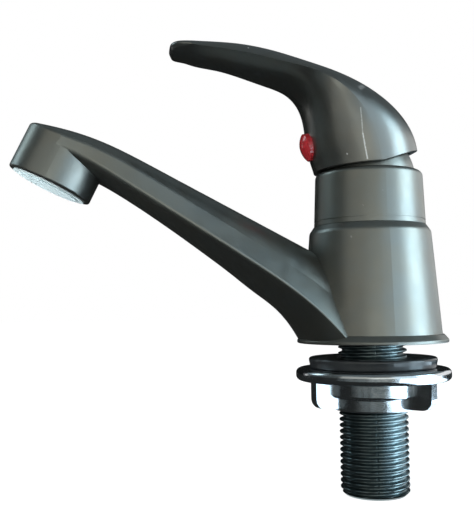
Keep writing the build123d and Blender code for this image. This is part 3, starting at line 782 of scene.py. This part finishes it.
@dataclass
class ThreadedShank(SubAssembly):
    """Shank with its thread cut from end to end, which stands for the plain solid.

    Args:
        bore: Radius of the water's way.
        spigot: Radius of the plain end in the body.
        groove: Radius at the bottom of the seal's groove.
        groove_span: Heights at which the seal's groove starts and ends.
        lead: Height and depth of the chamfer at the thread's start.
        bore_lead: Height and depth of the chamfer at the bore's mouth.
        root_share: Share of half a pitch over which the thread stays at its root.
        crest_share: Share of half a pitch over which it stays at its crest.
        sides: Number of steps round the shank.
        rows_per_turn: Number of steps from one crest to the next.
        seam_angle: Where the mould's parting line crosses the crests.
        seam_half_width: Half the angle that the parting line takes up.
        seam_floor: Share of that angle over which the cut is full.
        seam_steps: Steps across the parting line, as shares of that angle.
        seam_depth: How far the crests are cut back there.
    """

    title: str = "threaded shank"
    finishes: dict[str, Finish] = field(default_factory=lambda: {"shank_seal": BLACK_RUBBER})
    bore: float = 7.0 * MM
    spigot: float = 9.5 * MM
    groove: float = 7.7 * MM
    groove_span: tuple[float, float] = (2.05 * MM, 3.95 * MM)
    lead: float = 1.2 * MM
    bore_lead: float = 0.4 * MM
    root_share: float = 1 / 6
    crest_share: float = 1 / 6
    sides: int = 88
    rows_per_turn: int = 11
    seam_angle: float = math.radians(-13.0)
    seam_half_width: float = math.radians(1.9)
    seam_floor: float = 0.7
    seam_steps: tuple[float, ...] = (-1.0, -0.4, 0.4, 1.0)
    seam_depth: float = 0.4 * MM

    def angles(self) -> list[float]:
        """Set the steps round the shank, closer together at the parting line.

        Returns:
            The angle of each step, in order.
        """
        even = [2 * math.pi * step / self.sides for step in range(self.sides)]
        close = [
            (self.seam_angle + share * self.seam_half_width) % (2 * math.pi)
            for share in self.seam_steps
        ]
        return sorted(even + close)

    def radius(self, angle: float, height: float, foot: float) -> float:
        """Radius of the thread's surface.

        Args:
            angle: Direction round the shank.
            height: Height of the point.
            foot: Height of the shank's lower end.

        Returns:
            The distance from the axis.
        """
        phase = (height / THREAD_PITCH - angle / (2 * math.pi)) % 1.0
        rise = 1 - abs(2 * phase - 1)
        flank = 1 - self.root_share - self.crest_share
        share = min(1.0, max(0.0, (rise - self.root_share) / flank))
        full = THREAD_ROOT + (THREAD_CREST - THREAD_ROOT) * (0.5 - 0.5 * math.cos(math.pi * share))
        off_seam = abs((angle - self.seam_angle + math.pi) % (2 * math.pi) - math.pi)
        if off_seam < self.seam_floor * self.seam_half_width:
            full = min(full, THREAD_CREST - self.seam_depth)
        return min(full, THREAD_CREST - self.lead + (height - foot))

    def build(self) -> list[bpy.types.Object]:
        """Cut the thread and close the shank round its bore.

        Returns:
            The shank.
        """
        low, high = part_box("threaded_shank")
        foot, top = low.z, high.z
        rows = round(-foot / THREAD_PITCH * self.rows_per_turn)
        angles = self.angles()
        rings = []
        for row in range(rows + 1):
            height = foot * (1 - row / rows)
            rings.append(
                ring_of([(self.radius(angle, height, foot), angle, height) for angle in angles])
            )
        shape = [
            (self.spigot, 0.0),
            (self.spigot, self.groove_span[0]),
            (self.groove, self.groove_span[0]),
            (self.groove, self.groove_span[1]),
            (self.spigot, self.groove_span[1]),
            (self.spigot, top),
            (self.bore, top),
            (self.bore, foot + self.bore_lead),
            (self.bore + self.bore_lead, foot),
        ]
        for radius, height in shape:
            rings.append(ring_of([(radius, angle, height) for angle in angles]))
        skin = RingSkin()
        skin.cover(rings, joined=True)
        piece = skin.finish("shank_with_thread", "body")
        SHELF.paint_piece(piece, SHANK_METAL)
        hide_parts("threaded_shank")
        return [piece]


@dataclass
class DeckClamp(SubAssembly):
    """Rubber washer and wing nut, with the nut's own thread inside its bore.

    Args:
        root: Radius at which the ridge grows out of the nut.
        tip: Radius that the ridge reaches inwards.
        root_half: Half width of the ridge where it leaves the nut.
        tip_half: Half width of its tip.
        steps_per_turn: Number of steps round one turn.
        fade: Angle over which the ridge fades out at each end.
        least_share: Share of the ridge that is left at its very ends.
        end_room: Height that the ridge leaves free at each end of the bore.
    """

    title: str = "washer and wing nut"
    finishes: dict[str, Finish] = field(
        default_factory=lambda: {"rubber_washer": BLACK_RUBBER, "wing_nut": CHROME}
    )
    root: float = 10.6 * MM
    tip: float = 9.65 * MM
    root_half: float = 0.6 * MM
    tip_half: float = 0.12 * MM
    steps_per_turn: int = 72
    fade: float = math.radians(50.0)
    least_share: float = 0.15
    end_room: float = 0.2 * MM

    def build(self) -> list[bpy.types.Object]:
        """Run the ridge up the bore, in the shank's grooves.

        Returns:
            The nut's thread.
        """
        low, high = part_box("wing_nut")
        first = 2 * math.pi * (low.z + self.root_half + self.end_room) / THREAD_PITCH
        last = 2 * math.pi * (high.z - self.root_half - self.end_room) / THREAD_PITCH
        count = round((last - first) / (2 * math.pi) * self.steps_per_turn)
        rings = []
        for step in range(count + 1):
            angle = first + (last - first) * step / count
            height = THREAD_PITCH * angle / (2 * math.pi)
            share = min(1.0, (angle - first) / self.fade, (last - angle) / self.fade)
            tip = self.root - (self.root - self.tip) * max(self.least_share, share)
            outline = (
                (self.root, -self.root_half),
                (tip, -self.tip_half),
                (tip, self.tip_half),
                (self.root, self.root_half),
            )
            rings.append(ring_of([(radius, angle, height + rise) for radius, rise in outline]))
        skin = RingSkin()
        skin.cover(rings, joined=False)
        piece = skin.finish("wing_nut_thread", "nut")
        SHELF.paint_piece(piece, CHROME)
        return [piece]


@dataclass
class Aerator(SubAssembly):
    """Aerator in the spout's mouth, with a woven gauze over its grille.

    Args:
        reach: Radius of the gauze.
        drop: Distance of the gauze's middle below the mouth's plane.
        pitch: Distance from one wire to the next.
        wire: Radius of a wire.
        weave: How far a wire waves to each side of the gauze's middle, in wire radii.
        wire_sides: Number of flats round a wire.
        steps_per_cell: Number of steps along a wire from one crossing to the next.
        slant: Turn of the weave in its plane.
    """

    title: str = "aerator"
    finishes: dict[str, Finish] = field(
        default_factory=lambda: {
            "aerator_housing": PALE_PLASTIC,
            "aerator_grille": PALE_PLASTIC,
            "aerator_washer": BLACK_RUBBER,
        }
    )
    reach: float = 9.0 * MM
    drop: float = 0.52 * MM
    pitch: float = 0.62 * MM
    wire: float = 0.16 * MM
    weave: float = 0.9
    wire_sides: int = 6
    steps_per_cell: int = 3
    slant: float = math.radians(40.0)

    def plane(self) -> Matrix:
        """Place of the mouth, with the spout's inside along its own +Z."""
        return (
            Matrix.Translation((0.0, -MOUTH_FORWARD, MOUTH_HEIGHT))
            @ Matrix.Rotation(-MOUTH_LEAN, 4, "X")
        )

    def wire_rings(self, across: float, number: int, turn: Matrix) -> list[Ring]:
        """Rings along one wavy wire.

        Args:
            across: Distance of the wire from the gauze's centre.
            number: Odd or even count of the wire, which sets where it dips.
            turn: Turn of the wire in the gauze's plane.

        Returns:
            The wire's rings in order.
        """
        half = math.sqrt(self.reach**2 - across**2)
        steps = max(2, round(2 * half / self.pitch * self.steps_per_cell))
        rings = []
        for step in range(steps + 1):
            along = -half + 2 * half * step / steps
            wave = math.cos(math.pi * along / self.pitch) * (-1) ** number
            height = -self.drop + self.weave * self.wire * wave
            ring = []
            for side in range(self.wire_sides):
                angle = 2 * math.pi * side / self.wire_sides
                aside = across + self.wire * math.cos(angle)
                above = height + self.wire * math.sin(angle)
                ring.append(turn @ Vector((along, aside, above)))
            rings.append(ring)
        return rings

    def build(self) -> list[bpy.types.Object]:
        """Weave the gauze.

        Returns:
            The gauze.
        """
        skin = RingSkin()
        count = int(self.reach / self.pitch)
        for quarter in (0.0, math.pi / 2):
            turn = self.plane() @ Matrix.Rotation(self.slant + quarter, 4, "Z")
            for number in range(-count, count + 1):
                across = number * self.pitch
                if abs(across) < self.reach - self.wire:
                    parity = number + (1 if quarter else 0)
                    skin.cover(self.wire_rings(across, parity, turn), joined=False)
        piece = skin.finish("aerator_gauze", "body")
        SHELF.paint_piece(piece, PALE_PLASTIC)
        return [piece]


@dataclass(frozen=True)
class SoftBox:
    """Large soft lamp that looks at the tap.

    Args:
        name: Name of the lamp.
        place: Where it hangs.
        width: Its width.
        height: Its height.
        power: Its power in watts.
        tint: Colour of its light.
        mirrored: True if the tap's reflections show it.
    """

    name: str
    place: Point
    width: float
    height: float
    power: float
    tint: Colour
    mirrored: bool = False

    def build(self) -> None:
        """Hang the lamp and turn it to the tap."""
        lamp = bpy.data.lights.new(self.name, "AREA")
        lamp.shape = "RECTANGLE"
        lamp.size = self.width
        lamp.size_y = self.height
        lamp.energy = self.power
        lamp.color = self.tint
        holder = bpy.data.objects.new(self.name, lamp)
        bpy.context.scene.collection.objects.link(holder)
        holder.location = self.place
        holder.rotation_euler = (TAP_CENTRE - Vector(self.place)).to_track_quat("-Z", "Y").to_euler()
        holder.visible_camera = False
        holder.visible_glossy = self.mirrored


@dataclass(frozen=True)
class RoomCard:
    """Board that stands for a side of the room, seen only in the tap's reflections.

    Args:
        name: Name of the board.
        heading: Direction from the tap, turned from +X towards +Y.
        rise: Direction above the level.
        away: Distance from the tap.
        width: Its width.
        height: Its height.
        tone: Brightness and colour that it shows.
        level: True if it lies level, facing up, and False if it faces the tap.
        patchy: Share by which its brightness comes and goes.
        patch: Length of one bright or dark patch.
        patch_span: Stretch of the cloudy pattern that goes from dark to bright.
        squares: Number of faces along a side.
    """

    name: str
    heading: float
    rise: float
    away: float
    width: float
    height: float
    tone: Colour
    level: bool = False
    patchy: float = 0.1
    patch: float = 0.3
    patch_span: tuple[float, float] = (0.4, 0.6)
    squares: int = 8

    def build(self) -> None:
        """Place the board round the tap and light it up."""
        board = flat_grid(self.name, self.squares, half_side=0.5)
        turn, lift = math.radians(self.heading), math.radians(self.rise)
        out = Vector(
            (math.cos(lift) * math.cos(turn), math.cos(lift) * math.sin(turn), math.sin(lift))
        )
        facing = Vector((0.0, 0.0, 1.0)) if self.level else -out
        board.matrix_world = (
            Matrix.Translation(TAP_CENTRE + self.away * out)
            @ facing.to_track_quat("Z", "Y").to_matrix().to_4x4()
            @ Matrix.Diagonal((self.width, self.height, 1.0, 1.0))
        )
        graph = ShaderGraph(self.name)
        light = graph.noise(self.patch, 2.0, graph.add("ShaderNodeNewGeometry").outputs["Position"])
        shade = graph.span(light, *self.patch_span, 1 - self.patchy, 1 + self.patchy)
        tint = graph.add("ShaderNodeVectorMath", operation="SCALE")
        graph.feed(tint.inputs[0], self.tone)
        graph.feed(tint.inputs["Scale"], shade)
        graph.feed(graph.shader.inputs["Base Color"], (0.0, 0.0, 0.0))
        graph.shader.inputs["Specular IOR Level"].default_value = 0.0
        graph.feed(graph.shader.inputs["Emission Color"], tint.outputs[0])
        graph.shader.inputs["Emission Strength"].default_value = 1.0
        board.data.materials.append(graph.material)
        board.visible_camera = False
        board.visible_diffuse = False
        board.visible_transmission = False
        board.visible_shadow = False


@dataclass(frozen=True)
class PhotoCamera:
    """Camera at the photograph's place.

    Args:
        place: Where the lens is.
        heading: Turn about Z from a view along +Y.
        pitch: How far it looks up.
        roll: How far it leans to its right.
        lens: Focal length in millimetres on a 36 mm sensor.
    """

    place: Point = (0.22149, -0.07231, 0.0112)
    heading: float = math.radians(82.0)
    pitch: float = math.radians(3.6)
    roll: float = math.radians(0.7)
    lens: float = 52.02

    def build(self) -> None:
        """Set the camera up and make it the scene's."""
        data = bpy.data.cameras.new("photo_camera")
        data.lens = self.lens
        data.sensor_width = 36.0
        data.clip_start = 0.01
        holder = bpy.data.objects.new("photo_camera", data)
        bpy.context.scene.collection.objects.link(holder)
        holder.matrix_world = (
            Matrix.Translation(self.place)
            @ Matrix.Rotation(self.heading, 4, "Z")
            @ Matrix.Rotation(math.pi / 2 + self.pitch, 4, "X")
            @ Matrix.Rotation(-self.roll, 4, "Z")
        )
        bpy.context.scene.camera = holder


@dataclass
class Studio:
    """Pale floor, white surroundings, soft lamps and the boards of the room.

    Args:
        floor_reach: Half the floor's side.
        floor_glow: White that the floor shows by itself.
        floor_tone: Colour of the floor where the lamps light it.
        floor_drift: Second colour of the floor, which comes and goes in soft blotches.
        floor_blotch: Length of one blotch.
        floor_squares: Number of faces along the floor's side.
        ambient: Strength of the even light on matt surfaces.
        lamps: The soft lamps.
        boards: The boards that stand for the room.
    """

    floor_reach: float = 3.0
    floor_glow: float = 0.93
    floor_tone: Colour = (0.30, 0.30, 0.30)
    floor_drift: Colour = (0.291, 0.291, 0.291)
    floor_blotch: float = 0.05
    floor_squares: int = 12
    ambient: float = 0.30
    # Each lamp: name, place, width, height, power, tint
    lamps: tuple[SoftBox, ...] = (
        SoftBox("window", (0.27, 0.62, 0.14), 0.36, 0.60, 3.4, (0.60, 0.86, 1.0), mirrored=True),
        SoftBox("ceiling", (0.20, 0.05, 0.75), 0.50, 0.40, 2.2, (1.0, 0.99, 0.97)),
        SoftBox("room", (0.70, -0.35, 0.25), 0.50, 0.50, 1.3, (1.0, 0.97, 0.92)),
        SoftBox("worktop", (0.03, -0.17, -0.042), 0.16, 0.16, 0.36, (0.93, 1.0, 1.0)),
    )
    # Each board: name, heading, rise, distance, width, height, brightness and colour
    boards: tuple[RoomCard, ...] = (
        RoomCard("room_middle", -3.0, 12.0, 0.9, 0.60, 0.90, (0.36, 0.37, 0.34)),
        RoomCard("room_middle_low", -3.0, 2.0, 0.88, 0.58, 0.28, (1.12, 1.17, 1.08)),
        RoomCard("room_left", -42.0, 12.0, 0.9, 0.74, 0.90, (0.47, 0.48, 0.44)),
        RoomCard("room_right", 31.0, 12.0, 0.9, 0.52, 0.90, (0.90, 1.12, 1.25)),
        RoomCard("wall_left", -97.0, 12.0, 0.9, 1.30, 0.90, (0.06, 0.07, 0.07)),
        RoomCard("skylight", -118.0, 31.0, 0.85, 0.26, 0.36, (1.6, 2.1, 2.3)),
        RoomCard("wall_behind", 180.0, 18.0, 0.9, 1.60, 1.20, (0.008, 0.009, 0.009)),
        RoomCard("ceiling_card", 0.0, 90.0, 0.60, 2.40, 2.40, (0.12, 0.145, 0.155), level=True),
        RoomCard("worktop_card", 0.0, -90.0, 0.0697, 5.0, 5.0, (0.02, 0.022, 0.022), level=True),
        RoomCard(
            "worktop_near", -15.0, -11.0, 0.36, 0.42, 0.46, (0.12, 0.145, 0.15),
            level=True, patchy=0.8, patch=0.04,
        ),
        RoomCard(
            "worktop_lit", 62.0, -7.9, 0.50, 0.55, 0.75, (2.4, 3.1, 3.6),
            level=True, patchy=0.45, patch=0.05,
        ),
    )

    def build_floor(self) -> None:
        """Lay the floor, which shows white and keeps the tap's shadow."""
        floor = flat_grid("floor", self.floor_squares, self.floor_reach)
        floor.location.z = FLOOR_HEIGHT
        graph = ShaderGraph("floor")
        tone = graph.blend(graph.noise(self.floor_blotch), self.floor_tone, self.floor_drift)
        graph.feed(graph.shader.inputs["Base Color"], tone)
        graph.shader.inputs["Roughness"].default_value = 0.9
        graph.shader.inputs["Specular IOR Level"].default_value = 0.0
        graph.shader.inputs["Emission Color"].default_value = (1.0, 1.0, 1.0, 1.0)
        glow = graph.maths("MULTIPLY", graph.seen_directly(), self.floor_glow)
        graph.feed(graph.shader.inputs["Emission Strength"], glow)
        floor.data.materials.append(graph.material)

    def build_world(self) -> None:
        """Surround the tap with white that lights matt surfaces only softly."""
        world = bpy.data.worlds.new("surroundings")
        world.use_nodes = True
        bpy.context.scene.world = world
        graph = NodeGraph(world.node_tree)
        soft = graph.tree.nodes["Background"]
        white = graph.add("ShaderNodeBackground")
        for background, strength in ((soft, self.ambient), (white, 1.0)):
            graph.feed(background.inputs["Color"], (1.0, 1.0, 1.0))
            graph.feed(background.inputs["Strength"], strength)
        mix = graph.add("ShaderNodeMixShader")
        for number, source in enumerate((graph.seen_directly(), soft.outputs[0], white.outputs[0])):
            graph.feed(mix.inputs[number], source)
        graph.feed(graph.tree.nodes["World Output"].inputs["Surface"], mix.outputs[0])

    def build(self) -> None:
        """Build the floor, the surroundings, the lamps and the boards."""
        bpy.context.scene.view_settings.view_transform = "Standard"
        self.build_floor()
        self.build_world()
        for item in (*self.lamps, *self.boards):
            item.build()


def main() -> None:
    """Set up the camera, dress each sub-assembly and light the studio."""
    logging.basicConfig(level=logging.INFO, format="%(name)s: %(message)s")
    PhotoCamera().build()
    for group in (
        BodyCasting(),
        LeverHandle(),
        Cartridge(),
        ThreadedShank(),
        DeckClamp(),
        Aerator(),
    ):
        for piece in group.build():
            log.info("%s: made %s", group.title, piece.name)
        for node in group.dress():
            log.info("%s: dressed %s", group.title, node)
    Studio().build()
    log.info("studio: built")


if __name__ == "__main__":
    main()
